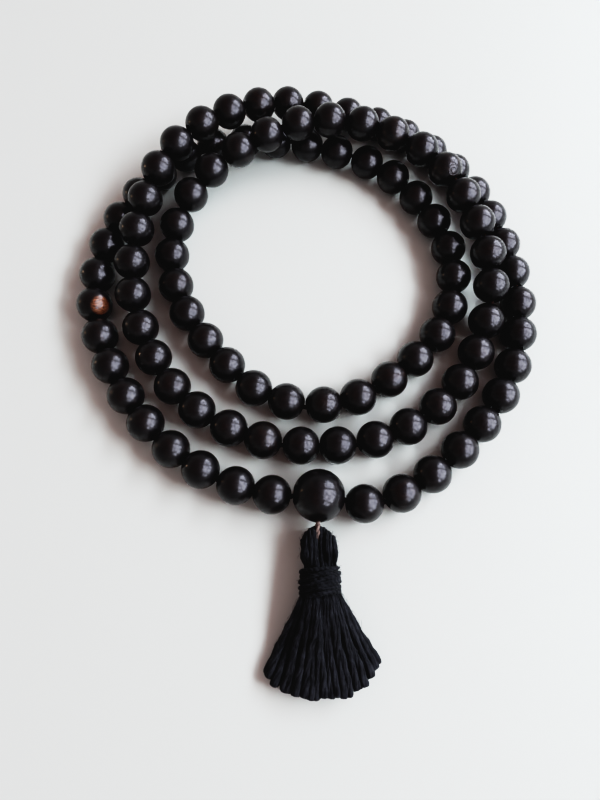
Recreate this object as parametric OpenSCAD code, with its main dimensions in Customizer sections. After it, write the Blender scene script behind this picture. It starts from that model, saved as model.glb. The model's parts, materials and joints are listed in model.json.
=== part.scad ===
// Mala, coiled three times and lying flat. Ordinary beads are threaded evenly along a cord,
// a larger guru bead closes the strand, and a yarn tassel hangs from the guru bead.

/* [Beads] */
// Diameter of an ordinary bead
bead_d = 8.2; // [7.6:0.1:8.2]
// Diameter of the hole through a bead
bore_d = 1.4; // [1.4:0.1:1.8]
// Width of the dished mouth at each end of a hole
mouth_d = 2.6; // [2.4:0.1:3]
// Depth of the dished mouth below the bead's pole
mouth_depth = 1.2; // [1:0.1:1.6]

/* [Guru bead] */
// Diameter of the guru bead
guru_d = 11; // [10.2:0.1:11.2]
// Gap between the guru bead and its neighbours
guru_gap = 0.25; // [0.2:0.05:0.5]

/* [Cord] */
// Diameter of the cord that the beads are threaded on
cord_d = 1; // [0.8:0.1:1]
// Diameter of the twisted cord that the tassel hangs by
hanger_d = 1.2; // [1:0.1:1.2]

/* [Tassel] */
// Width of one of the two lobes of folded yarn, at its top
lobe_w = 3.3; // [3:0.1:3.4]
// Thickness of the folded yarn, front to back
lobe_t = 6; // [5.4:0.1:6.4]
// Number of turns of the binding
wraps = 6; // [4:1:7]
// Diameter of the binding thread
wrap_d = 1.1; // [1:0.05:1.2]
// Radius of the yarn neck inside the binding
neck_r = 3.1; // [2.8:0.1:3.1]
// Length from the guru bead's front to the lowest yarn end
tassel_len = 33.5; // [30:0.5:38]
// Width of the skirt at the yarn ends
skirt_w = 23; // [18:0.5:26]
// Thickness of the skirt at the yarn ends
skirt_t = 4.4; // [3.6:0.2:5]
// Sideways lean of the tassel, in degrees
lean = 4; // [0:1:8]

/* [Hidden] */
bead_count = 97;
pair_count = floor(bead_count / 2);
clear = 0.1;
fine = 48;
sides = 8;

// The guru bead's centre, seen from above
guru_xy = [4, -50.5];
// The strand's route from the guru bead round to it again: across, along, and
// how far a bead there is lifted off the table
route = [
    [-9.5, -50, 0], [-24.5, -44, 0], [-36.5, -33.5, 0], [-45.5, -19.5, 0],
    [-50, -4.5, 0], [-48, 12, 0], [-41, 26.5, 0], [-30, 38, 0],
    [-14, 41.5, 0], [2, 40, 0], [17.5, 34, 0], [28.5, 22.5, 0],
    [34.5, 7.5, 0], [32, -8.5, 0], [22, -21, 0], [8, -29.5, 0],
    [-8, -28.5, 0], [-20.5, -18.5, 0], [-30, -5, 0], [-33, 10.5, 0.5],
    [-27.5, 24.5, 4], [-15.5, 34.5, 7], [-1, 41, 8], [15, 41, 7],
    [29.5, 32.5, 6.5], [38, 18.5, 6], [42, 3, 5], [40.5, -11.5, 1],
    [33, -26, 0], [20, -36, 0], [4.5, -39.5, 0], [-11.5, -38, 0],
    [-26, -30.5, 0], [-36, -17.5, 0.5], [-41, -2.5, 2.5], [-40.5, 13.5, 5],
    [-35.5, 29, 7.5], [-25.5, 40.5, 8], [-11, 49, 5], [4.5, 51.5, 1],
    [20, 47, 0], [33, 38, 0], [42.5, 25, 0], [48, 9.5, 0],
    [49.5, -6.5, 0], [46, -22, 0], [37, -36, 0], [25, -47, 0],
    [14, -51.5, 0]
];

// A smooth curve through the route's points, never below the table
steps = 12;
guru_lift = (guru_d - bead_d) / 2;
guru_stop = [guru_xy.x, guru_xy.y, guru_lift];
stops = concat([guru_stop], route, [guru_stop]);
last = len(stops) - 1;
function stop(i) =
    i < 0 ? 2 * stops[0] - stops[1]
    : i > last ? 2 * stops[last] - stops[last - 1]
    : stops[i];
function blend(p0, p1, p2, p3, t) =
    (2 * p1 + (p2 - p0) * t
    + (2 * p0 - 5 * p1 + 4 * p2 - p3) * t * t
    + (3 * p1 - p0 - 3 * p2 + p3) * t * t * t) / 2;
function lifted(p) = [p.x, p.y, bead_d / 2 + max(0, p.z)];
curve = [
    for (i = [0:last - 1], k = [0:i == last - 1 ? steps : steps - 1])
        lifted(blend(stop(i - 1), stop(i), stop(i + 1), stop(i + 2), k / steps))
];

// Distance run along the curve, and the point at a given distance
points = len(curve);
run = [
    for (i = 0, s = 0; i < points; i = i + 1, s = i < points ? s + norm(curve[i] - curve[i - 1]) : s) s
];
tables = [for (axis = [0:2]) [for (i = [0:points - 1]) [run[i], curve[i][axis]]]];
function at(s) = [for (table = tables) lookup(s, table)];

// The beads sit along the curve in pairs, clear of the guru bead at both ends. The two beads
// of a pair sit mouth to mouth, so that their rims nearly touch
lead = (guru_d + bead_d) / 2 + guru_gap;
pair_step = bead_d - 0.25;
repeat = (run[points - 1] - 2 * lead) / pair_count;
centres = [for (i = [0:bead_count - 1]) at(lead + floor(i / 2) * repeat + i % 2 * pair_step)];
guru = [guru_xy.x, guru_xy.y, guru_d / 2];
mouth = guru - [0, guru_d / 2, 0];

// The origin lies on the table below the middle of the whole object
tassel_end = mouth - [0, tassel_len, 0];
xs = [for (c = centres) c.x];
ys = [for (c = centres) c.y];
middle = [
    (min(xs) + max(xs)) / 2,
    (tassel_end.y + max(ys) + bead_d / 2) / 2,
    0
];

function unit(v) = v / norm(v);
function two_digits(i) = i < 10 ? str("0", i) : str(i);
function pair_name(k) = str("beads_", two_digits(2 * k + 1), "_", two_digits(2 * k + 2));
single_name = str("bead_", bead_count);

wood = "#1d1819";
yarn = "#15161c";
thread = "#4a2f25";

// Turns a shape drawn along +Z to point along a direction
module aim(dir) {
    u = unit(dir);
    rotate([0, acos(u.z), atan2(u.y, u.x)]) children();
}

// A hole through a bead along Z, dished at both ends
module drilling(d, length) {
    cylinder(d = bore_d, h = length + 2, center = true, $fn = fine);
    for (end = [0, 1])
        mirror([0, 0, end])
            translate([0, 0, d / 2 - mouth_depth])
                cylinder(d1 = bore_d, d2 = mouth_d, h = mouth_depth, $fn = fine);
}

module drilled_bead(d) {
    difference() {
        sphere(d = d, $fn = fine);
        drilling(d, d);
    }
}

// The direction of the hole through bead i: along its pair, or along the curve for the last one
function bead_dir(i) =
    i == bead_count - 1 ? guru - centres[i - 1]
    : let(first = 2 * floor(i / 2)) centres[first + 1] - centres[first];

module place_bead(i) {
    translate(centres[i]) aim(bead_dir(i)) drilled_bead(bead_d);
}

module bead_pair(k) {
    color(wood)
        for (i = [2 * k, 2 * k + 1]) place_bead(i);
}

module single_bead() {
    color(wood) place_bead(bead_count - 1);
}

// The guru bead is drilled from side to side, and from its middle out to the front
module guru_bead() {
    color(wood)
        translate(guru)
            difference() {
                rotate([0, 0, 45]) sphere(d = guru_d, $fn = fine);
                rotate([0, 90, 0]) drilling(guru_d, guru_d);
                rotate([90, 0, 0]) cylinder(d = bore_d, h = guru_d, $fn = fine);
                rotate([90, 0, 0])
                    translate([0, 0, guru_d / 2 - mouth_depth])
                        cylinder(d1 = bore_d, d2 = mouth_d, h = mouth_depth, $fn = fine);
            }
}

// The cord's line: straight through each pair of beads, bending just inside the dished mouths
bend = bead_d / 2 - mouth_depth + 0.2;
cord_end_gap = 0.2;
function pair_line(k) =
    let(a = centres[2 * k], b = centres[2 * k + 1], u = unit(b - a))
    [a - bend * u, b + bend * u];
function single_line() =
    let(c = centres[bead_count - 1], u = unit(bead_dir(bead_count - 1)))
    [c - bend * u, c + bend * u];
function guru_line(side) = [
    guru + [side * cord_end_gap, 0, 0],
    guru + [side * (guru_d / 2 - mouth_depth + 0.2), 0, 0]
];
right_side = guru_line(1);
cord_line = concat(
    guru_line(-1),
    [for (k = [0:pair_count - 1]) for (p = pair_line(k)) p],
    single_line(),
    [right_side[1], right_side[0]]
);

// One ring of the cord's skin, square to the line where it bends
function ring(line, i, r) =
    let(
        n = len(line) - 1,
        before = unit(line[max(i, 1)] - line[max(i, 1) - 1]),
        after = unit(line[min(i, n - 1) + 1] - line[min(i, n - 1)]),
        dir = unit(before + after),
        side = unit(cross(dir, [0, 0, 1])),
        up = cross(side, dir)
    )
    [for (k = [0:sides - 1]) line[i] + r * (cos(360 * k / sides) * side + sin(360 * k / sides) * up)];

module tube(line, r) {
    rings = len(line);
    skin = [for (i = [0:rings - 1]) for (p = ring(line, i, r)) p];
    walls = [
        for (i = [0:rings - 2], k = [0:sides - 1])
            let(a = i * sides + k, b = i * sides + (k + 1) % sides)
            [a, b, b + sides, a + sides]
    ];
    start_cap = [for (k = [sides - 1:-1:0]) k];
    end_cap = [for (k = [0:sides - 1]) (rings - 1) * sides + k];
    polyhedron(points = skin, faces = concat([start_cap], walls, [end_cap]));
}

module strand_cord() {
    color(thread) tube(cord_line, cord_d / 2);
}

// The twisted ends of the cord inside the guru bead's front hole
module guru_cord() {
    start = cord_d / 2 + clear;
    color(thread)
        translate(guru)
            rotate([90, 0, 0])
                translate([0, 0, start])
                    cylinder(d = hanger_d, h = (guru_d - hanger_d) / 2 - start - clear, $fn = fine);
}

// The tassel is drawn along -Y from the guru bead's front hole, and leans from there
module in_tassel() {
    translate(mouth) rotate([0, 0, lean]) children();
}

// The bare thread between the guru bead and the tassel
hanger_len = 0.7;
module tassel_hanger() {
    color(thread)
        in_tassel() {
            sphere(d = hanger_d, $fn = fine);
            rotate([90, 0, 0]) cylinder(d = hanger_d, h = hanger_len, $fn = fine);
        }
}

// The thread's loop, tied round the middle of the yarn before the yarn is folded
loop_r = 1.4;
loop_d = 0.9;
loop_y = 2.6;
loop_drop = 1;
module tassel_loop() {
    color(thread)
        in_tassel() {
            translate([0, -hanger_len - clear / 2, 0])
                rotate([90, 0, 0])
                    cylinder(d = hanger_d, h = 0.6, $fn = fine);
            translate([0, -loop_y, -loop_drop])
                rotate([0, 90, 0])
                    rotate_extrude($fn = fine)
                        translate([loop_r, 0]) circle(d = loop_d, $fn = 24);
        }
}

// Heights inside the tassel, measured from the table and then from the guru bead's middle
wrap_pitch = 0.95;
bound_r = neck_r + clear + wrap_d;
binding_y = 8.6;
binding_len = (wraps - 1) * wrap_pitch + wrap_d;
axis_drop = guru_d / 2 - bound_r;
head_top = 0.6;
notch = 1.7;

// One ball of a lobe's outline and its twin behind it: across, along, half way front to back, radius
module lobe_balls(x, y, z, r) {
    for (way = [-1, 1])
        translate([x, y, way * z - axis_drop]) sphere(r = r, $fn = 32);
}

// One lobe: round at the top, fullest where it meets the other lobe, and gathered into the neck
module lobe(side) {
    top_r = lobe_w / 2;
    full_r = 2;
    neck_ball = 1.3;
    hull() {
        lobe_balls(side * (notch / 2 + top_r), -head_top - top_r, lobe_t / 2 - top_r, top_r);
        lobe_balls(side * (full_r + clear / 2), 2.3 - binding_y, neck_r - full_r, full_r);
        lobe_balls(side * (neck_ball + clear / 2), 0.5 - binding_y, 0.9, neck_ball);
    }
}

// The folded yarn: two lobes, the yarn that crosses between them, and the neck
module tassel_head() {
    crossing_r = loop_r - loop_d / 2 - clear;
    color(yarn)
        in_tassel() {
            lobe(-1);
            lobe(1);
            translate([0, -loop_y, -loop_drop])
                rotate([0, 90, 0])
                    cylinder(r = crossing_r, h = notch + lobe_w, center = true, $fn = fine);
            translate([0, 0.5 - binding_y, -axis_drop])
                rotate([90, 0, 0])
                    cylinder(r = neck_r, h = binding_len + 0.5, $fn = fine);
        }
}

// The binding: turns of thread wound tightly round the neck
module tassel_binding() {
    color(yarn)
        in_tassel()
            translate([0, -binding_y - wrap_d / 2, -axis_drop])
                rotate([90, 0, 0])
                    rotate_extrude($fn = fine)
                        for (i = [0:wraps - 1])
                            translate([neck_r + clear + wrap_d / 2, i * wrap_pitch])
                                circle(d = wrap_d, $fn = 24);
}

// The skirt: yarn fanned out from the binding to round ends that lie on the table
module tassel_skirt() {
    skirt_y = binding_y + binding_len + clear;
    end_r = skirt_t / 2;
    half_w = skirt_w / 2 - end_r;
    // The arc of yarn ends passes through both corners and the middle
    sag = 5;
    arc_r = (half_w * half_w + sag * sag) / (2 * sag);
    spread = asin(half_w / arc_r);
    arc_y = tassel_len - end_r - arc_r;
    color(yarn)
        in_tassel()
            hull() {
                translate([0, -skirt_y, -axis_drop])
                    rotate([90, 0, 0])
                        cylinder(r = neck_r + 0.8, h = 0.6, $fn = 32);
                for (k = [-3:3])
                    translate([
                        arc_r * sin(spread * k / 3),
                        -arc_y - arc_r * cos(spread * k / 3),
                        end_r - guru_d / 2
                    ])
                        sphere(r = end_r, $fn = 32);
            }
}

translate(-middle) {
    strand_cord();
    guru_bead();
    for (k = [0:pair_count - 1])
        bead_pair(k);
    single_bead();
    guru_cord();
    tassel_hanger();
    tassel_loop();
    tassel_head();
    tassel_binding();
    tassel_skirt();
}
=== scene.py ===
import json
import math
import random

import bmesh
import bpy
import numpy as np
from mathutils import Matrix, Vector


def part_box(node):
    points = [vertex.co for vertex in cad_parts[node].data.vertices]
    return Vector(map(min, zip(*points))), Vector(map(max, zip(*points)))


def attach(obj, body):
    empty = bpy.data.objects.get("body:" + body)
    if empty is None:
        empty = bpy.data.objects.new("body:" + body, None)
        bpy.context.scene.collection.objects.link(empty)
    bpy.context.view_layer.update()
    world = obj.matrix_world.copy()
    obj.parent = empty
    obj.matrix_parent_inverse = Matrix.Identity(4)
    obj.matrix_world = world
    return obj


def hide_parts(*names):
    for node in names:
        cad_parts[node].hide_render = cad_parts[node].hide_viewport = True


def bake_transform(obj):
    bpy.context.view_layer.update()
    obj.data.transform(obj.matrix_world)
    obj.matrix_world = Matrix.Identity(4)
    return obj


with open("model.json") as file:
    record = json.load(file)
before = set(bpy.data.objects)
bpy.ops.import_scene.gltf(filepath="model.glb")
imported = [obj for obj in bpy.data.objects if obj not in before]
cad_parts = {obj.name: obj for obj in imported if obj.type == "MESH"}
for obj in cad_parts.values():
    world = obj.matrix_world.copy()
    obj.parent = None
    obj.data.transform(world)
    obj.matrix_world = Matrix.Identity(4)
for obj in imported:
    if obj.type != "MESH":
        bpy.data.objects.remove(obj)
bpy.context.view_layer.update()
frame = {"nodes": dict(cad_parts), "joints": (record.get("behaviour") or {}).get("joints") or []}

# Everything is in metres in the part's frame: +Z up from the table, the tassel towards -Y.
MM = 0.001
SEED = 20


# ---------------------------------------------------------------- the frame's own places

def corners(node):
    """The low and high corners of a CAD node's box."""
    low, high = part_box(node)
    return np.array(low), np.array(high)


def unit(v):
    """The vector at length one."""
    v = np.asarray(v, float)
    return v / np.linalg.norm(v)


JOINTS = {j["name"]: j for j in frame["joints"]}
BEAD_NODES = sorted(n for n in frame["nodes"] if n.startswith("bead"))
BEAD_NODES.sort(key=lambda n: int(n.split("_")[1]))


def bead_places():
    """For each bead node, its spin axis and the centres of its beads, in the strand's order."""
    places = []
    for name in BEAD_NODES:
        joint = JOINTS[name + "_spin"]
        middle = np.array(joint["pos_m"])
        axis = unit(joint["axis"])
        mesh = frame["nodes"][name].data
        along = np.array([(np.array(v.co) - middle) @ axis for v in mesh.vertices])
        if name == BEAD_NODES[-1]:
            groups = [along]
        else:
            groups = [along[along < 0], along[along > 0]]
        centres = [middle + axis * (g.min() + g.max()) / 2 for g in groups]
        places.append((name, axis, centres))
    return places


BEADS = bead_places()
LOW, HIGH = corners(BEAD_NODES[-1])
BEAD_R = (HIGH[2] - LOW[2]) / 2
BORE_R = 0.7 * MM        # the hole through a bead
LIP_R = 1.3 * MM         # the dished mouth at each end of the hole
GURU_LOW, GURU_HIGH = corners("guru_bead")
GURU_R = (GURU_HIGH[2] - GURU_LOW[2]) / 2
GURU = np.array(JOINTS["guru_roll"]["pos_m"])
MOUTH = np.array(JOINTS["tassel_swing"]["pos_m"])

# The tassel's own axes: down its length, to its right, and up from the table
DOWN = unit(JOINTS["tassel_twist"]["axis"])
UP = np.array([0.0, 0.0, 1.0])
RIGHT = unit(np.cross(UP, -DOWN)) * -1


def tassel_point(right, down, up):
    """A point in the tassel, in millimetres from the guru bead's front hole; up is from the table."""
    p = MOUTH + (RIGHT * right + DOWN * down) * MM
    p[2] = up * MM
    return p


# ---------------------------------------------------------------- mesh helpers

def link_object(name, data):
    """A new object in the scene."""
    made = bpy.data.objects.new(name, data)
    bpy.context.scene.collection.objects.link(made)
    return made


def add_object(name, mesh, body, cad_node):
    """A piece that rides on a body and takes the place of a CAD node."""
    piece = link_object(name, mesh)
    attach(piece, body)
    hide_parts(cad_node)


def mesh_from(name, points, faces, smooth=True):
    """A mesh from points and faces, shaded smooth or flat."""
    mesh = bpy.data.meshes.new(name)
    mesh.from_pydata([tuple(p) for p in points], [], faces)
    mesh.validate()
    if smooth:
        mesh.shade_smooth()
    return mesh


def distances(line):
    """How far along the line each of its points is."""
    return np.r_[0, np.cumsum(np.linalg.norm(np.diff(line, axis=0), axis=1))]


def points_at(line, at):
    """The points at those distances along the line."""
    run = distances(line)
    return np.array([np.interp(at, run, line[:, k]) for k in range(3)]).T


def resample(line, step):
    """The line in equal steps."""
    length = distances(line)[-1]
    return points_at(line, np.linspace(0, length, int(length / step) + 1))


def frames_along(line):
    """Directions and two square-on unit vectors at each point, carried along without twist."""
    line = np.asarray(line, float)
    ahead = np.gradient(line, axis=0)
    ahead /= np.linalg.norm(ahead, axis=1)[:, None]
    start = UP if abs(ahead[0] @ UP) < 0.9 else np.array([1.0, 0.0, 0.0])
    side = unit(np.cross(ahead[0], start))
    sides = []
    for d in ahead:
        side = unit(side - d * (side @ d))
        sides.append(side)
    sides = np.array(sides)
    return ahead, sides, np.cross(ahead, sides)


def tube(line, radii, sides=10, lobes=0, depth=0.0, turn=0.0, phase=0.0):
    """Points and faces of a round or lobed tube. turn is radians of twist per metre."""
    line = np.asarray(line, float)
    count = len(line)
    radii = np.broadcast_to(radii, (count,)).astype(float)
    _, a, b = frames_along(line)
    run = distances(line)
    angles = np.arange(sides) * 2 * math.pi / sides
    shape = 1 - depth + depth * np.abs(np.cos(lobes * angles / 2)) if lobes else np.ones(sides)
    t = angles[None, :] + (phase + turn * run)[:, None]
    reach = radii[:, None] * shape[None, :]
    out = a[:, None, :] * np.cos(t)[:, :, None] + b[:, None, :] * np.sin(t)[:, :, None]
    points = (line[:, None, :] + out * reach[:, :, None]).reshape(-1, 3)
    ring = np.arange(count * sides).reshape(count, sides)
    beside = np.roll(ring, -1, axis=1)
    faces = np.stack([ring[:-1], beside[:-1], beside[1:], ring[1:]], axis=-1).reshape(-1, 4).tolist()
    faces.append(ring[0, ::-1].tolist())
    faces.append(ring[-1].tolist())
    return points, faces


def join(parts):
    """Several parts' points and faces as one."""
    points, faces = [], []
    for more_points, more_faces in parts:
        base = len(points)
        points += list(more_points)
        faces += [tuple(base + k for k in f) for f in more_faces]
    return points, faces


def smooth_line(stops, count):
    """A Catmull-Rom curve through the stops, at count even steps."""
    stops = np.asarray(stops, float)
    padded = np.vstack([2 * stops[0] - stops[1], stops, 2 * stops[-1] - stops[-2]])
    dense = []
    for i in range(len(stops) - 1):
        p0, p1, p2, p3 = padded[i:i + 4]
        for t in np.linspace(0, 1, 12, endpoint=False):
            dense.append(0.5 * (2 * p1 + (p2 - p0) * t + (2 * p0 - 5 * p1 + 4 * p2 - p3) * t * t
                                + (3 * p1 - p0 - 3 * p2 + p3) * t ** 3))
    dense.append(stops[-1])
    dense = np.array(dense)
    return points_at(dense, np.linspace(0, distances(dense)[-1], count))


# ---------------------------------------------------------------- materials

def new_material(name):
    """A material, with its nodes, its links and its shader."""
    material = bpy.data.materials.new(name)
    material.use_nodes = True
    nodes = material.node_tree.nodes
    return material, nodes, material.node_tree.links, nodes["Principled BSDF"]


def node(nodes, kind, **values):
    """A new shader node, with the values of its inputs or settings."""
    made = nodes.new(kind)
    for key, value in values.items():
        if key in made.inputs:
            made.inputs[key].default_value = value
        else:
            setattr(made, key, value)
    return made


def ramp(nodes, stops):
    """A colour ramp through the stops."""
    made = nodes.new("ShaderNodeValToRGB")
    elements = made.color_ramp.elements
    while len(elements) < len(stops):
        elements.new(0.5)
    for element, (position, colour) in zip(elements, stops):
        element.position = position
        element.color = (*colour, 1)
    return made


def grey(value):
    """A grey as red, green and blue."""
    return (value, value, value)


def wood_material(name, dark, brown, streak):
    """Close-grained black wood, satin from handling. How much brown grain a bead shows is its tone."""
    material, nodes, links, shader = new_material(name)
    shader.inputs["Specular IOR Level"].default_value = 0.30
    shader.inputs["Coat Roughness"].default_value = 0.07
    shader.inputs["Coat IOR"].default_value = 1.46
    place = node(nodes, "ShaderNodeAttribute", attribute_name="grain")
    tone = node(nodes, "ShaderNodeAttribute", attribute_name="tone")
    # Long fibres: noise squeezed hard along the grain's own direction
    fibres = node(nodes, "ShaderNodeMapping")
    fibres.inputs["Scale"].default_value = (9.0, 9.0, 0.55)
    links.new(place.outputs["Vector"], fibres.inputs["Vector"])
    fine = node(nodes, "ShaderNodeTexNoise", Scale=1.0, Detail=6.0, Roughness=0.62, Distortion=0.35)
    links.new(fibres.outputs["Vector"], fine.inputs["Vector"])
    # Growth bands: broad and faint
    broad_map = node(nodes, "ShaderNodeMapping")
    broad_map.inputs["Scale"].default_value = (0.75, 0.75, 0.12)
    links.new(place.outputs["Vector"], broad_map.inputs["Vector"])
    broad = node(nodes, "ShaderNodeTexNoise", Scale=1.0, Detail=3.0, Roughness=0.5)
    links.new(broad_map.outputs["Vector"], broad.inputs["Vector"])
    # How much brown shows
    bands = ramp(nodes, [(0.42, grey(0.0)), (0.72, grey(1.0))])
    links.new(broad.outputs["Fac"], bands.inputs["Fac"])
    lines = ramp(nodes, [(0.40, grey(0.0)), (0.66, grey(1.0))])
    links.new(fine.outputs["Fac"], lines.inputs["Fac"])
    shown = node(nodes, "ShaderNodeMath", operation="MULTIPLY")
    links.new(bands.outputs["Color"], shown.inputs[0])
    links.new(lines.outputs["Color"], shown.inputs[1])
    amount = node(nodes, "ShaderNodeMath", operation="MULTIPLY", use_clamp=True)
    links.new(shown.outputs["Value"], amount.inputs[0])
    links.new(tone.outputs["Fac"], amount.inputs[1])
    base = node(nodes, "ShaderNodeMix", data_type="RGBA")
    base.inputs[6].default_value = (*dark, 1)
    base.inputs[7].default_value = (*brown, 1)
    links.new(amount.outputs["Value"], base.inputs[0])
    # A bead cut from paler wood: tone above one opens orange streaks along the fibres
    pale = node(nodes, "ShaderNodeMapRange")
    pale.inputs["From Min"].default_value = 1.5
    pale.inputs["From Max"].default_value = 3.0
    links.new(tone.outputs["Fac"], pale.inputs["Value"])
    streaks = node(nodes, "ShaderNodeMath", operation="MULTIPLY_ADD")
    streaks.inputs[1].default_value = 1.1
    streaks.inputs[2].default_value = 0.08
    links.new(lines.outputs["Color"], streaks.inputs[0])
    pale_lines = node(nodes, "ShaderNodeMath", operation="MULTIPLY", use_clamp=True)
    links.new(pale.outputs["Result"], pale_lines.inputs[0])
    links.new(streaks.outputs["Value"], pale_lines.inputs[1])
    coloured = node(nodes, "ShaderNodeMix", data_type="RGBA")
    coloured.inputs[7].default_value = (*streak, 1)
    links.new(pale_lines.outputs["Value"], coloured.inputs[0])
    links.new(base.outputs[2], coloured.inputs[6])
    links.new(coloured.outputs[2], shader.inputs["Base Color"])
    # Handling wears the satin unevenly, and the open fibres stay duller
    wear = node(nodes, "ShaderNodeTexNoise", Scale=0.55, Detail=4.0, Roughness=0.6)
    links.new(place.outputs["Vector"], wear.inputs["Vector"])
    worn = node(nodes, "ShaderNodeMapRange")
    worn.inputs["To Min"].default_value = 0.27
    worn.inputs["To Max"].default_value = 0.45
    links.new(wear.outputs["Fac"], worn.inputs["Value"])
    dull = node(nodes, "ShaderNodeMath", operation="MULTIPLY_ADD")
    dull.inputs[1].default_value = 0.08
    links.new(fine.outputs["Fac"], dull.inputs[0])
    links.new(worn.outputs["Result"], dull.inputs[2])
    links.new(dull.outputs["Value"], shader.inputs["Roughness"])
    # Pores and fibres stand a few microns out of the surface
    pores = node(nodes, "ShaderNodeTexVoronoi", Scale=2.4)
    links.new(fibres.outputs["Vector"], pores.inputs["Vector"])
    relief = node(nodes, "ShaderNodeMath", operation="MULTIPLY_ADD")
    relief.inputs[1].default_value = 0.5
    links.new(pores.outputs["Distance"], relief.inputs[0])
    links.new(fine.outputs["Fac"], relief.inputs[2])
    bump = node(nodes, "ShaderNodeBump", Strength=0.35, Distance=0.06 * MM)
    links.new(relief.outputs["Value"], bump.inputs["Height"])
    links.new(bump.outputs["Normal"], shader.inputs["Normal"])
    # The polish follows the surface's small undulations, and is thin in spots
    waves = node(nodes, "ShaderNodeTexNoise", Scale=2.2, Detail=4.0, Roughness=0.65)
    links.new(place.outputs["Vector"], waves.inputs["Vector"])
    wavy = node(nodes, "ShaderNodeBump", Strength=0.4, Distance=0.04 * MM)
    links.new(waves.outputs["Fac"], wavy.inputs["Height"])
    links.new(wavy.outputs["Normal"], shader.inputs["Coat Normal"])
    polish = node(nodes, "ShaderNodeMapRange")
    polish.inputs["From Min"].default_value = 0.36
    polish.inputs["From Max"].default_value = 0.58
    polish.inputs["To Min"].default_value = 0.30
    polish.inputs["To Max"].default_value = 1.0
    links.new(waves.outputs["Fac"], polish.inputs["Value"])
    links.new(polish.outputs["Result"], shader.inputs["Coat Weight"])
    return material


LINT_FROM = 0.765        # noise above this is a speck of lint


def yarn_material(name, dark, light, scale, sheen):
    """Spun cotton: fine fibres at a slant, matte, with a soft bloom at grazing angles."""
    material, nodes, links, shader = new_material(name)
    shader.inputs["Specular IOR Level"].default_value = 0.25
    shader.inputs["Sheen Weight"].default_value = sheen
    shader.inputs["Sheen Roughness"].default_value = 0.45
    place = node(nodes, "ShaderNodeTexCoord")
    fibre_map = node(nodes, "ShaderNodeMapping")
    fibre_map.inputs["Scale"].default_value = (scale, scale * 0.35, scale)
    fibre_map.inputs["Rotation"].default_value = (0.0, 0.0, 0.5)
    links.new(place.outputs["Object"], fibre_map.inputs["Vector"])
    fibres = node(nodes, "ShaderNodeTexNoise", Scale=1.0, Detail=7.0, Roughness=0.7, Distortion=0.6)
    links.new(fibre_map.outputs["Vector"], fibres.inputs["Vector"])
    mottle = node(nodes, "ShaderNodeTexNoise", Scale=scale * 0.12, Detail=3.0, Roughness=0.5)
    links.new(place.outputs["Object"], mottle.inputs["Vector"])
    mixed = node(nodes, "ShaderNodeMath", operation="MULTIPLY")
    links.new(fibres.outputs["Fac"], mixed.inputs[0])
    links.new(mottle.outputs["Fac"], mixed.inputs[1])
    colours = ramp(nodes, [(0.12, dark), (0.42, light)])
    links.new(mixed.outputs["Value"], colours.inputs["Fac"])
    # Specks of pale lint
    specks = node(nodes, "ShaderNodeTexNoise", Scale=2600.0, Detail=2.0, Roughness=0.5)
    links.new(place.outputs["Object"], specks.inputs["Vector"])
    lint = ramp(nodes, [(LINT_FROM, grey(0.0)), (LINT_FROM + 0.02, grey(1.0))])
    links.new(specks.outputs["Fac"], lint.inputs["Fac"])
    flecked = node(nodes, "ShaderNodeMix", data_type="RGBA")
    flecked.inputs[7].default_value = (0.34, 0.35, 0.38, 1)
    links.new(lint.outputs["Color"], flecked.inputs[0])
    links.new(colours.outputs["Color"], flecked.inputs[6])
    links.new(flecked.outputs[2], shader.inputs["Base Color"])
    rough = node(nodes, "ShaderNodeMapRange")
    rough.inputs["To Min"].default_value = 0.75
    rough.inputs["To Max"].default_value = 0.98
    links.new(fibres.outputs["Fac"], rough.inputs["Value"])
    links.new(rough.outputs["Result"], shader.inputs["Roughness"])
    bump = node(nodes, "ShaderNodeBump", Strength=0.6, Distance=0.12 * MM)
    links.new(fibres.outputs["Fac"], bump.inputs["Height"])
    links.new(bump.outputs["Normal"], shader.inputs["Normal"])
    return material


WOOD = wood_material("black_wood", dark=(0.0130, 0.0110, 0.0128), brown=(0.040, 0.020, 0.014),
                     streak=(0.28, 0.115, 0.055))
YARN = yarn_material("black_cotton", (0.011, 0.011, 0.013), (0.054, 0.055, 0.066), 4200.0, 0.12)
BINDING = yarn_material("black_thread", (0.011, 0.011, 0.013), (0.050, 0.051, 0.061), 5000.0, 0.12)
THREAD = yarn_material("pale_brown_thread", (0.11, 0.082, 0.078), (0.36, 0.28, 0.265), 9000.0, 0.2)
CORD = yarn_material("brown_cord", (0.020, 0.011, 0.009), (0.085, 0.045, 0.035), 6000.0, 0.1)


# ---------------------------------------------------------------- camera

CAMERA_AT = (-0.53, -55.8, 129.6)        # mm
CAMERA_TILT = 70.88                      # degrees below the horizon
CAMERA_ROLL = 2.48                       # degrees


def make_camera():
    """From the front and above, close to the beads with a wide lens, rolled a little."""
    data = bpy.data.cameras.new("camera")
    data.lens = 27.0
    data.sensor_width = 36.0
    data.clip_start = 0.005
    data.clip_end = 20.0
    camera = link_object("camera", data)
    tilt, roll = math.radians(CAMERA_TILT), math.radians(CAMERA_ROLL)
    ahead = Vector((0, math.cos(tilt), -math.sin(tilt)))
    level = Vector((1, 0, 0))
    rise = level.cross(ahead)
    right = math.cos(roll) * level + math.sin(roll) * rise
    above = -math.sin(roll) * level + math.cos(roll) * rise
    camera.matrix_world = Matrix((
        (right.x, above.x, -ahead.x, CAMERA_AT[0] * MM),
        (right.y, above.y, -ahead.y, CAMERA_AT[1] * MM),
        (right.z, above.z, -ahead.z, CAMERA_AT[2] * MM),
        (0, 0, 0, 1),
    ))
    bpy.context.scene.camera = camera


make_camera()


# ---------------------------------------------------------------- beads

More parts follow.
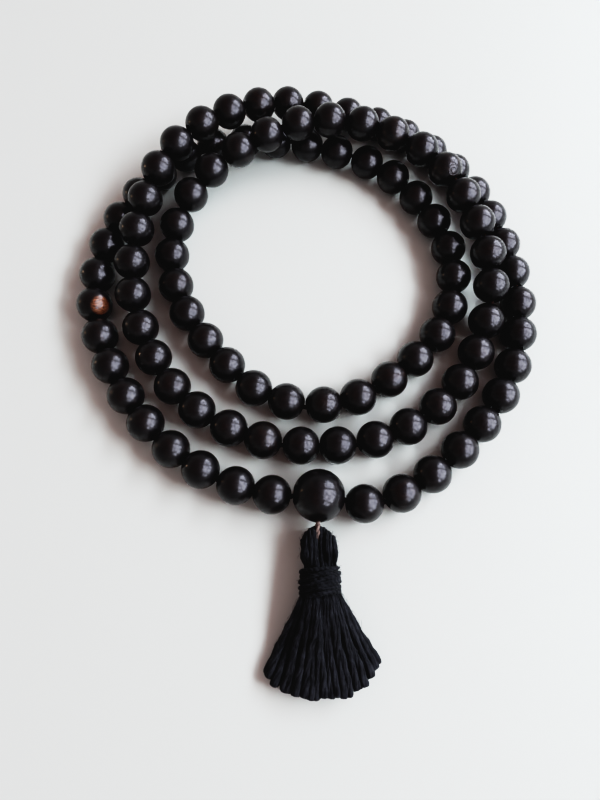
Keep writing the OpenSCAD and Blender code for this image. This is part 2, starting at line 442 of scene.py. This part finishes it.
def bead_profile(radius, steps):
    """Half outline of a drilled bead, from inside the hole at one end round to the other: (along, out)."""
    lip_angle = math.asin(LIP_R / radius)
    lip = radius * math.cos(lip_angle)
    dish = [
        (lip - 1.0 * MM, BORE_R),
        (lip - 0.55 * MM, BORE_R + 0.10 * MM),
        (lip - 0.16 * MM, LIP_R - 0.22 * MM),
    ]
    soft = lip_angle + 0.05
    outer = [
        (radius * math.cos(t), radius * math.sin(t))
        for t in np.linspace(soft, math.pi - soft, steps)
    ]
    return [*dish, *outer, *[(-a, r) for a, r in reversed(dish)]]


def turned_bead(centre, axis, radius, around=44, steps=30):
    """Points and faces of one bead turned about its hole."""
    axis = unit(axis)
    side = unit(np.cross(axis, UP))
    up = np.cross(side, axis)
    profile = bead_profile(radius, steps)
    points = []
    for along, out in profile:
        for k in range(around):
            t = 2 * math.pi * k / around
            points.append(centre + axis * along + (side * math.cos(t) + up * math.sin(t)) * out)
    faces = []
    rows = len(profile)
    for i in range(rows):
        for k in range(around):
            j = (k + 1) % around
            n = (i + 1) % rows
            faces.append((i * around + k, n * around + k, n * around + j, i * around + j))
    return points, faces


def random_turn(rng):
    """A random rotation, as rows of a 3x3 array."""
    q = np.array([rng.gauss(0, 1) for _ in range(4)])
    w, x, y, z = q / np.linalg.norm(q)
    return np.array([
        [1 - 2 * (y * y + z * z), 2 * (x * y - z * w), 2 * (x * z + y * w)],
        [2 * (x * y + z * w), 1 - 2 * (x * x + z * z), 2 * (y * z - x * w)],
        [2 * (x * z - y * w), 2 * (y * z + x * w), 1 - 2 * (x * x + y * y)],
    ])


# Beads that show more brown than the rest, by their number along the strand
BROWN_BEADS = {48: 1.4, 50: 1.4, 16: 1.2, 30: 1.2, 63: 1.2, 77: 1.1}
# One bead shows a patch of pale sapwood, facing up and to the right
PALE_BEAD = 9
PALE_WAY = (0.62, -0.38, 0.68)
PALE_EDGE = 0.77         # the cosine of the angle at which the patch ends
PALE_GAIN = 1.9          # how quickly it pales inside its edge
PALE_TONE = 3.0

# One bead keeps fine rings from the lathe on its upper side
RINGED_BEAD = 50
RING_WAY = (0.31, -0.62, 0.72)


def lathe_rings(centre, radius):
    """Fine raised rings on a bead, one inside another."""
    way = unit(RING_WAY)
    a = unit(np.cross(way, UP))
    b = np.cross(way, a)
    t = np.linspace(0, 2 * math.pi, 40)[:, None]
    rings = []
    for out in (1.25, 0.62):
        lean = out * MM / radius
        out_way = way * math.cos(lean) + (a * np.cos(t) + b * np.sin(t)) * math.sin(lean)
        rings.append(tube(centre + (radius - 0.09 * MM) * out_way, 0.16 * MM, sides=12))
    return rings


def bead_tone(number, rng):
    """How much brown grain a bead shows."""
    return BROWN_BEADS.get(number, rng.uniform(0.15, 0.8))


def write_grain(mesh, starts, rows, patch=None):
    """Each bead's own grain direction and place in the wood, in millimetres, and its tone."""
    count = len(mesh.vertices)
    co = np.empty(count * 3)
    mesh.vertices.foreach_get("co", co)
    co = co.reshape(-1, 3)
    grain = np.zeros((count, 3))
    tone = np.zeros(count)
    for (first, last), (centre, turn, shift, value) in zip(starts, rows):
        grain[first:last] = (co[first:last] - centre) / MM @ turn.T + shift
        tone[first:last] = value
    if patch is not None:
        (first, last), centre = starts[patch], rows[patch][0]
        way = co[first:last] - centre
        way /= np.linalg.norm(way, axis=1)[:, None]
        near = np.clip((way @ unit(PALE_WAY) - PALE_EDGE) / (1 - PALE_EDGE) * PALE_GAIN, 0, 1)
        tone[first:last] += near * (PALE_TONE - tone[first:last])
    mesh.attributes.new("grain", "FLOAT_VECTOR", "POINT").data.foreach_set("vector", grain.ravel())
    mesh.attributes.new("tone", "FLOAT", "POINT").data.foreach_set("value", tone)


def make_beads():
    """All the ordinary beads, each with its own size, grain and tone."""
    rng = random.Random(SEED)
    number = 0
    for name, axis, centres in BEADS:
        parts, starts, rows = [], [], []
        base = 0
        for centre in centres:
            number += 1
            radius = BEAD_R * rng.uniform(0.995, 1.0)
            part = turned_bead(centre, axis, radius)
            if number == RINGED_BEAD:
                part = join([part, *lathe_rings(centre, radius)])
            parts.append(part)
            starts.append((base, base + len(part[0])))
            base += len(part[0])
            shift = np.array([rng.uniform(-200, 200) for _ in range(3)])
            rows.append((centre, random_turn(rng), shift, bead_tone(number, rng)))
        mesh = mesh_from("turned_" + name, *join(parts))
        places = range(number - len(centres) + 1, number + 1)
        write_grain(mesh, starts, rows, places.index(PALE_BEAD) if PALE_BEAD in places else None)
        mesh.materials.append(WOOD)
        add_object("turned_" + name, mesh, name, name)


def make_guru():
    """The guru bead: turned about its side holes, then drilled and dished at the front."""
    points, faces = turned_bead(GURU, (1, 0, 0), GURU_R, around=72, steps=48)
    guru = link_object("guru_bead_turned", mesh_from("guru_bead_turned", points, faces))
    # The drill's outline, in mm: how far out from the bead's middle, and its radius there
    outline = [(0.3, 0.0), (0.3, 0.62), (4.9, 0.62), (5.15, 0.7), (5.35, 0.88), (5.9, 1.3), (5.9, 0.0)]
    around = 40
    drill_points, drill_faces = [], []
    for along, out in outline:
        for k in range(around):
            t = 2 * math.pi * k / around
            drill_points.append(GURU + np.array([out * math.cos(t), -along, out * math.sin(t)]) * MM)
    for i in range(len(outline) - 1):
        for k in range(around):
            j = (k + 1) % around
            drill_faces.append((i * around + k, i * around + j, (i + 1) * around + j, (i + 1) * around + k))
    drill_mesh = mesh_from("drill", drill_points, drill_faces, smooth=False)
    clean = bmesh.new()
    clean.from_mesh(drill_mesh)
    bmesh.ops.remove_doubles(clean, verts=clean.verts, dist=1e-7)
    bmesh.ops.recalc_face_normals(clean, faces=clean.faces)
    clean.to_mesh(drill_mesh)
    clean.free()
    drill = link_object("drill", drill_mesh)
    cut = guru.modifiers.new("front_hole", "BOOLEAN")
    cut.operation = "DIFFERENCE"
    cut.solver = "EXACT"
    cut.object = drill
    dg = bpy.context.evaluated_depsgraph_get()
    cut_mesh = bpy.data.meshes.new_from_object(guru.evaluated_get(dg))
    guru.modifiers.clear()
    guru.data = cut_mesh
    bpy.data.objects.remove(drill)
    cut_mesh.shade_smooth()
    cut_mesh.materials.clear()
    cut_mesh.materials.append(WOOD)
    rng = random.Random(SEED + 1)
    write_grain(cut_mesh, [(0, len(cut_mesh.vertices))],
                [(GURU, random_turn(rng), np.array([31.0, -57.0, 12.0]), 0.5)])
    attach(guru, "guru")
    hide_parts("guru_bead")


make_beads()
make_guru()


# ---------------------------------------------------------------- cord and thread

def cord_line():
    """The strand's line: straight through each pair of beads, bending inside the dished mouths."""
    reach = BEAD_R - 1.0 * MM
    inner, outer = 0.2 * MM, GURU_R - 1.0 * MM
    line = [GURU + np.array([-inner, 0, 0]), GURU + np.array([-outer, 0, 0])]
    for _, axis, centres in BEADS:
        line += [centres[0] - axis * reach, centres[-1] + axis * reach]
    line += [GURU + np.array([outer, 0, 0]), GURU + np.array([inner, 0, 0])]
    return np.array(line)


def make_strand_cord():
    """Three plies laid up tightly, the whole way round the strand."""
    line = resample(cord_line(), 0.45 * MM)
    points, faces = tube(line, 0.5 * MM, sides=12, lobes=3, depth=0.22, turn=2 * math.pi / (3.2 * MM))
    mesh = mesh_from("laid_cord", points, faces)
    mesh.materials.append(CORD)
    add_object("laid_cord", mesh, "strand", "strand_cord")


def twisted_pair(line, ply, apart, lay):
    """Two plies wound round each other along a line."""
    line = resample(np.asarray(line, float), 0.09 * MM)
    _, a, b = frames_along(line)
    run = distances(line)
    turn = 2 * math.pi * run / lay
    parts = []
    for start in (0.0, math.pi):
        c, s = np.cos(turn + start)[:, None], np.sin(turn + start)[:, None]
        path = line + (a * c + b * s) * apart
        parts.append(tube(path, ply, sides=10, lobes=3, depth=0.12, turn=-2 * math.pi / (0.9 * MM)))
    return join(parts)


def make_thread():
    """The twisted brown thread: out of the guru bead, and round the middle of the yarn."""
    top = MOUTH[2] / MM
    line = [GURU + np.array([0, -1.0, 0]) * MM, MOUTH, tassel_point(-0.1, 0.5, top)]
    points, faces = twisted_pair(line, 0.38 * MM, 0.24 * MM, 3.8 * MM)
    mesh = mesh_from("twisted_thread", points, faces)
    mesh.materials.append(THREAD)
    thread = link_object("twisted_thread", mesh)
    end = tassel_point(-0.06, 0.3, top)
    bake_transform(thread)
    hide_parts("guru_cord", "tassel_hanger")
    # The loop: down over the yarn's crossing, and back up behind it
    middle, radius = (2.6, 4.5), 1.5
    loop = [tassel_point(-0.08, 0.45, top)]
    for k in range(25):
        t = math.radians(125 - 15 * k)
        down = middle[0] - radius * math.cos(math.pi - t)
        loop.append(tassel_point(-0.1 * down, down, middle[1] + radius * math.sin(t)))
    points, faces = twisted_pair(smooth_line(loop, 60), 0.33 * MM, 0.24 * MM, 3.2 * MM)
    mesh = mesh_from("thread_loop", points, faces)
    mesh.materials.append(THREAD)
    add_object("thread_loop", mesh, "tassel", "tassel_loop")


make_strand_cord()
make_thread()


# ---------------------------------------------------------------- tassel

# In mm, and down from the guru bead's front hole
AXIS_UP = 4.3                    # the bound neck's middle, above the table
NECK_R = 3.1
BIND_FROM, BIND_TO = 8.6, 14.4   # where the binding begins and ends
HEAD_TOP = 0.6                   # where the folded yarn begins
LOBE_REACH, LOBE_DROP = 3.75, 5.0    # how far across the tops of the lobes reach, and how far they round down
SKIRT_END, SKIRT_HALF = 33.1, 11.5   # the lowest yarn end, and half the width there
FUZZ_TOP = 0.75                  # no loose fibre is nearer to the guru bead


def kinked(line, rng, wave):
    """The line with the small kinks real yarn has."""
    count = len(line)
    steps = np.array([[rng.gauss(0, 1) for _ in range(3)] for _ in range(count)])
    kinks = np.cumsum(steps, axis=0)
    kinks -= np.linspace(0, 1, count)[:, None] * kinks[-1]
    return line + kinks * wave * MM


def drift(count, knots, size, rng):
    """A smooth random value along a strand."""
    stops = [rng.uniform(-1, 1) * size for _ in range(knots)]
    return np.interp(np.linspace(0, 1, count), np.linspace(0, 1, knots), stops)


def yarn_strand(stops, radii, rng, count=60, plies=6, lay=14.0, wave=0.02, sides=7):
    """One strand of soft cotton yarn through the stops: a few loose plies laid round each other."""
    line = kinked(smooth_line(stops, count), rng, wave)
    radius = np.interp(np.linspace(0, 1, count), np.linspace(0, 1, len(radii)), radii)
    radius = radius * (1 + drift(count, 9, 0.07, rng))
    _, a, b = frames_along(line)
    run = distances(line)
    spin = 2 * math.pi * run / (lay * rng.uniform(0.8, 1.3) * MM) + rng.uniform(0, 6.3)
    parts = []
    for k in range(plies):
        t = spin + 2 * math.pi * k / plies + drift(count, 7, 0.45, rng)
        out = radius * (0.46 + drift(count, 8, 0.10, rng))
        path = line + (a * np.cos(t)[:, None] + b * np.sin(t)[:, None]) * out[:, None]
        parts.append(tube(path, radius * (0.52 + drift(count, 8, 0.06, rng)), sides=sides))
    return join(parts), line


def rounded_end(radius, count, part):
    """Radii along a strand that closes to a round brushed end over its last part."""
    t = np.linspace(0, 1, count)
    close = np.clip((t - (1 - part)) / part, 0, 1)
    return radius * np.sqrt(np.maximum(0.02, 1 - close ** 2.6))


def fuzz(lines, how_many, rng, reach, thick=0.028):
    """Loose fibres: short hair-thin curls along the strands, some lying on them and some standing off."""
    parts = []
    for _ in range(how_many):
        line, radius = lines[rng.randrange(len(lines))]
        i = rng.randrange(2, int(len(line) * 0.9))
        ahead = unit(line[i] - line[i - 1])
        out = unit(np.cross(ahead, [rng.gauss(0, 1) for _ in range(3)]))
        if out[2] < -0.3:
            out = -out
        aside = np.cross(ahead, out)
        lift = rng.random() ** 2 * reach
        along = rng.uniform(-5.0, 3.0) * reach
        bend = rng.uniform(-0.9, 0.9) * reach
        start = line[i] + out * radius * 0.9
        stops = [
            start,
            start + out * lift * 0.7 * MM + ahead * along * 0.45 * MM + aside * bend * 0.7 * MM,
            start + out * lift * MM + ahead * along * MM + aside * bend * MM,
        ]
        lowest = min(p[2] for p in stops)
        nearest = min((p - MOUTH) @ DOWN for p in stops)
        if lowest < 0.05 * MM or nearest < FUZZ_TOP * MM:
            continue
        parts.append(tube(smooth_line(stops, 6), thick * rng.uniform(0.6, 1.2) * MM, sides=3))
    return parts


def lobe_top(x):
    """How far down from the guru bead the folded yarn begins, x mm out from the tassel's middle."""
    return HEAD_TOP + LOBE_DROP * (1 - math.sqrt(max(0.0, 1 - (abs(x) / LOBE_REACH) ** 2)))


def make_head():
    """The folded yarn: strands that come out of the binding, over the top of each lobe and back behind."""
    rng = random.Random(SEED + 2)
    parts, lines = [], []
    # Each layer: how far it stands from the lobe's middle, and the strands' places across the lobe
    layers = [
        (1.0, (0.55, 1.1, 1.7, 2.3, 2.85, 3.28)),
        (0.66, (0.6, 1.3, 2.0, 2.65, 3.1)),
        (0.25, (0.9, 1.8, 2.7)),
    ]
    for side in (-1, 1):
        for squeeze, places in layers:
            for place in places:
                x = side * place
                off = (place - 1.9) / 1.85
                bulge = math.sqrt(max(0.05, 1 - (off * 0.92) ** 2))
                thick = 2.5 * bulge * squeeze
                top = lobe_top(place) + 0.5 + (1 - squeeze) * 1.3 + rng.uniform(-0.08, 0.08)
                # The left lobe is drawn in more where it enters the binding
                neck_x = x * (0.76 if side < 0 else 0.90) + side * 0.1
                neck_t = math.sqrt(max(0.3, (NECK_R - 0.45) ** 2 - neck_x ** 2)) * (0.35 + 0.65 * squeeze)
                wide_x = x * 1.02
                stops = [
                    tassel_point(neck_x, BIND_FROM + 1.4, AXIS_UP + neck_t * 0.9),
                    tassel_point(neck_x * 1.03, BIND_FROM - 0.3, AXIS_UP + neck_t),
                    tassel_point(wide_x, BIND_FROM - 2.3, 4.2 + thick * 1.08),
                    tassel_point(wide_x, top + 2.6, 4.1 + thick * 1.05),
                    tassel_point(x, top + 0.9, 4.0 + thick * 0.82),
                    tassel_point(x, top, 3.9 + thick * 0.2),
                    tassel_point(x, top + 0.35, 3.8 - thick * 0.5),
                    tassel_point(wide_x, top + 2.2, 3.8 - thick),
                    tassel_point(wide_x, BIND_FROM - 2.3, 4.0 - thick),
                    tassel_point(neck_x * 1.03, BIND_FROM - 0.3, AXIS_UP - neck_t),
                    tassel_point(neck_x, BIND_FROM + 1.4, AXIS_UP - neck_t * 0.9),
                ]
                size = rng.uniform(0.42, 0.56)
                part, line = yarn_strand(stops, [size * MM, size * 1.12 * MM, size * MM], rng, 90, wave=0.028)
                parts.append(part)
                lines.append((line, size * MM))
    # The yarn that crosses from lobe to lobe through the thread's loop
    for up, down in [(4.9, 3.5), (4.4, 4.3), (3.9, 3.6), (4.5, 5.0), (5.6, 5.4), (5.2, 6.4)]:
        stops = [tassel_point(x, down + abs(x) * 0.3, up - abs(x) * 0.2) for x in (-2.4, -1.2, 0, 1.2, 2.4)]
        parts.append(yarn_strand(stops, [0.5 * MM, 0.42 * MM, 0.5 * MM], rng, 30)[0])
    parts += fuzz(lines, 2400, rng, 0.4)
    mesh = mesh_from("folded_yarn", *join(parts))
    mesh.materials.append(YARN)
    add_object("folded_yarn", mesh, "tassel", "tassel_head")


def wound_turns(turns, radius, begin, lay, tilt, rng, rise=0.0):
    """A thread wound round the neck: turns that lean a little, each its own way."""
    steps = 48
    lean = [rng.uniform(-1, 1) * tilt for _ in range(turns + 2)]
    swell = [rng.uniform(-1, 1) * 0.10 for _ in range(turns * 3 + 4)]
    stops = []
    for k in range(turns * steps + 1):
        t = k / steps
        angle = 2 * math.pi * t
        tip = np.interp(t, range(len(lean)), lean) + rise
        r = radius + np.interp(t * 3, range(len(swell)), swell)
        down = begin + t * lay + tip * math.cos(angle)
        stops.append(tassel_point(r * math.cos(angle), down, AXIS_UP + r * math.sin(angle)))
    return np.array(stops)


def make_binding():
    """Six turns of two-ply thread round the neck, and three more laid slantwise over them."""
    rng = random.Random(SEED + 3)
    under = wound_turns(6, NECK_R + 0.58, BIND_FROM + 0.6, 0.90, 0.26, rng, -0.2)
    over = wound_turns(3, NECK_R + 0.90, BIND_FROM + 1.3, 1.25, 0.5, rng, -0.75)
    parts, lines = [], []
    for line, size in ((under, 0.55), (over, 0.44)):
        radii = np.full(len(line), size * MM)
        radii[:6] *= np.linspace(0.3, 1, 6)
        radii[-6:] *= np.linspace(1, 0.3, 6)
        parts.append(tube(line, radii, sides=14, lobes=2, depth=0.22, turn=2 * math.pi / (2.0 * MM)))
        lines.append((line, size * MM))
    parts += fuzz(lines, 700, rng, 0.35)
    mesh = mesh_from("wound_binding", *join(parts))
    mesh.materials.append(BINDING)
    add_object("wound_binding", mesh, "tassel", "tassel_binding")


def skirt_end(x):
    """How far down the tassel the yarn ends, x mm across: nearly level, then rounding up to the corners."""
    lift = 6.2 if x > 0 else 4.5
    return SKIRT_END - lift * (abs(x) / SKIRT_HALF) ** 3.2


def make_skirt():
    """The yarn's free ends: layers of strands fanned out from the neck, lying on the table at their ends."""
    rng = random.Random(SEED + 4)
    parts, lines = [], []
    # Each strand thickens from the binding to its end
    points_each = 64
    swelling = np.interp(np.linspace(0, 1, points_each), [0, 0.1, 0.35, 0.7, 0.9, 1],
                         [0.42, 0.54, 0.64, 0.78, 0.98, 1.04])
    # Each layer: number of strands, height at the neck, half way and at the ends, in mm
    layers = [(17, 2.5, 4.9, 3.5), (16, 0.9, 3.7, 2.55), (16, -0.9, 2.5, 1.6), (15, -2.4, 1.5, 0.85)]
    for layer, (count, neck_up, mid_up, end_up) in enumerate(layers):
        for k in range(count):
            across = (k + 0.5) / count * 2 - 1
            across += rng.uniform(-0.5, 0.5) / count
            edge = 1 - min(1, abs(across)) ** 3.5
            size = rng.uniform(0.78, 1.0)
            end_x = across * SKIRT_HALF
            end_y = skirt_end(end_x) + rng.uniform(-0.5, 0.2) - 0.12 * layer
            start_x = across * math.sqrt(max(0.6, NECK_R ** 2 - neck_up ** 2)) * 1.02
            flare_x = across * 4.0
            lift = AXIS_UP + neck_up * (0.35 + 0.65 * edge if neck_up > 0 else 1)
            end_z = max(size, size + (end_up - 0.8) * (0.3 + 0.7 * edge) + rng.uniform(-0.2, 0.2))
            mid_z = 0.7 + (mid_up - 0.7) * (0.42 + 0.58 * edge)
            sway = rng.uniform(-0.4, 0.4)

            def at(share, up, more=0.0):
                x = flare_x + (end_x - flare_x) * share + more
                return tassel_point(x, BIND_TO + 0.3 + (end_y - BIND_TO - 0.3) * share, up)

            stops = [
                tassel_point(start_x * 0.96, BIND_TO - 1.5, lift),
                at(0.0, lift + 0.15 * edge),
                at(0.1, lift + 0.35 * edge),
                at(0.3, (lift + mid_z) / 2 + 0.45 * edge, sway * 0.4),
                at(0.52, mid_z + 0.2 * edge, sway),
                at(0.78, (mid_z + end_z) / 2, sway * 0.3),
                at(1.0, end_z),
            ]
            radii = rounded_end(size * MM, points_each, 0.05) * swelling
            part, line = yarn_strand(stops, radii, rng, points_each, wave=0.035, lay=20.0)
            parts.append(part)
            lines.append((line, size * 0.75 * MM))
    parts += fuzz(lines, 3600, rng, 0.45)
    mesh = mesh_from("fanned_yarn", *join(parts))
    mesh.materials.append(YARN)
    add_object("fanned_yarn", mesh, "tassel", "tassel_skirt")


make_head()
make_binding()
make_skirt()


# ---------------------------------------------------------------- table and light

def make_table():
    """A plain pale table."""
    bpy.ops.mesh.primitive_plane_add(size=4.0, location=(0, 0, 0))
    table = bpy.context.object
    table.name = "table_top"
    material, _, _, shader = new_material("pale_table")
    shader.inputs["Base Color"].default_value = (0.775, 0.80, 0.80, 1)
    shader.inputs["Roughness"].default_value = 0.55
    shader.inputs["Specular IOR Level"].default_value = 0.2
    table.data.materials.append(material)


def area_light(name, place, aim, size, power, colour, across=(1, 0, 0)):
    """A rectangular light at place, facing aim. across is the direction of its first side."""
    data = bpy.data.lights.new(name, "AREA")
    data.shape = "RECTANGLE"
    data.size, data.size_y = size
    data.energy = power
    data.color = colour
    lamp = link_object(name, data)
    back = unit(np.array(place) - np.array(aim))
    first = np.array(across, float)
    first = unit(first - back * (first @ back))
    second = np.cross(back, first)
    lamp.matrix_world = Matrix((
        (first[0], second[0], back[0], place[0]),
        (first[1], second[1], back[1], place[1]),
        (first[2], second[2], back[2], place[2]),
        (0, 0, 0, 1),
    ))
    return lamp


def make_room():
    """Soft light from all round, strongest near the table and dim overhead."""
    world = bpy.data.worlds.new("room")
    bpy.context.scene.world = world
    world.use_nodes = True
    nodes, links = world.node_tree.nodes, world.node_tree.links
    back = nodes["Background"]
    place = node(nodes, "ShaderNodeTexCoord")
    split = node(nodes, "ShaderNodeSeparateXYZ")
    links.new(place.outputs["Generated"], split.inputs["Vector"])
    # From straight down, through the horizon at a half, to straight up
    sky = ramp(nodes, [
        (0.0, (0.40, 0.40, 0.40)),
        (0.5, (0.44, 0.435, 0.435)),
        (0.62, (0.33, 0.27, 0.26)),
        (1.0, (0.28, 0.19, 0.165)),
    ])
    links.new(split.outputs["Z"], sky.inputs["Fac"])
    links.new(sky.outputs["Color"], back.inputs["Color"])
    back.inputs["Strength"].default_value = 1.0


SOFT_W = 2.25            # each soft pane's power
MIRROR_RADIANCE = 5.5
WARM_SIDE, WARM_RADIANCE = 0.045, 9.0
# The window as the polish mirrors it, in metres: each pane's ends along the window, and its width
PANES = ((-0.66, -0.42, 0.28), (-0.42, 0.03, 0.50), (0.12, 0.40, 0.46), (0.40, 0.60, 0.25))


def make_lights():
    """A tall two-pane window on the right, a dim warm lamp low on the left, and a dim room all round."""
    aim = np.array([0.0, 0.012, 0.0])
    way = unit((0.72, 0.14, 0.67))
    # The soft light that falls on the table and makes the shadows
    far, pane, bar, tall = 0.62, 0.34, 0.05, 0.15
    for k, side in enumerate((-1, 1)):
        shift = np.array([0, 1, 0]) * side * (pane + bar) / 2
        lamp = area_light(f"soft_pane_{k + 1}", aim + way * far + shift, aim + shift, (pane, tall), SOFT_W,
                          (0.90, 0.985, 1.0), across=(0, 1, 0))
        lamp.visible_glossy = False
    # The same window as the polished beads mirror it
    far = 0.52
    along = unit((0.10, 1.0, 0.0))
    for k, (low, high, wide) in enumerate(PANES):
        place = aim + way * far + along * (low + high) / 2
        lamp = area_light(f"mirrored_pane_{k + 1}", place, place - way, (high - low, wide),
                          MIRROR_RADIANCE * (high - low) * wide * math.pi, (0.85, 0.88, 1.0), across=along)
        lamp.visible_diffuse = False
    low_way = unit((-0.985, 0.12, 0.13))
    lamp = area_light("warm_lamp", aim + low_way * 0.5, aim, (WARM_SIDE, WARM_SIDE),
                      WARM_SIDE ** 2 * math.pi * WARM_RADIANCE, (1.0, 0.72, 0.5))
    lamp.visible_diffuse = False
    make_room()


# Each tone in, and the tone it comes out as
TONES = (
    (0.0, 0.003), (0.035, 0.0075), (0.08, 0.036), (0.16, 0.13), (0.28, 0.36),
    (0.5, 0.69), (0.7, 0.80), (0.84, 0.86), (1.0, 0.93),
)


def set_tones():
    """A camera's contrast: darks pressed towards black, middle tones lifted and whites held down."""
    view = bpy.context.scene.view_settings
    view.view_transform = "Standard"
    view.use_curve_mapping = True
    curve = view.curve_mapping.curves[3]     # the one for all three colours together
    for x, y in TONES[1:-1]:
        curve.points.new(x, y)
    curve.points[0].location = TONES[0]
    curve.points[-1].location = TONES[-1]
    view.curve_mapping.update()


make_table()
make_lights()
set_tones()
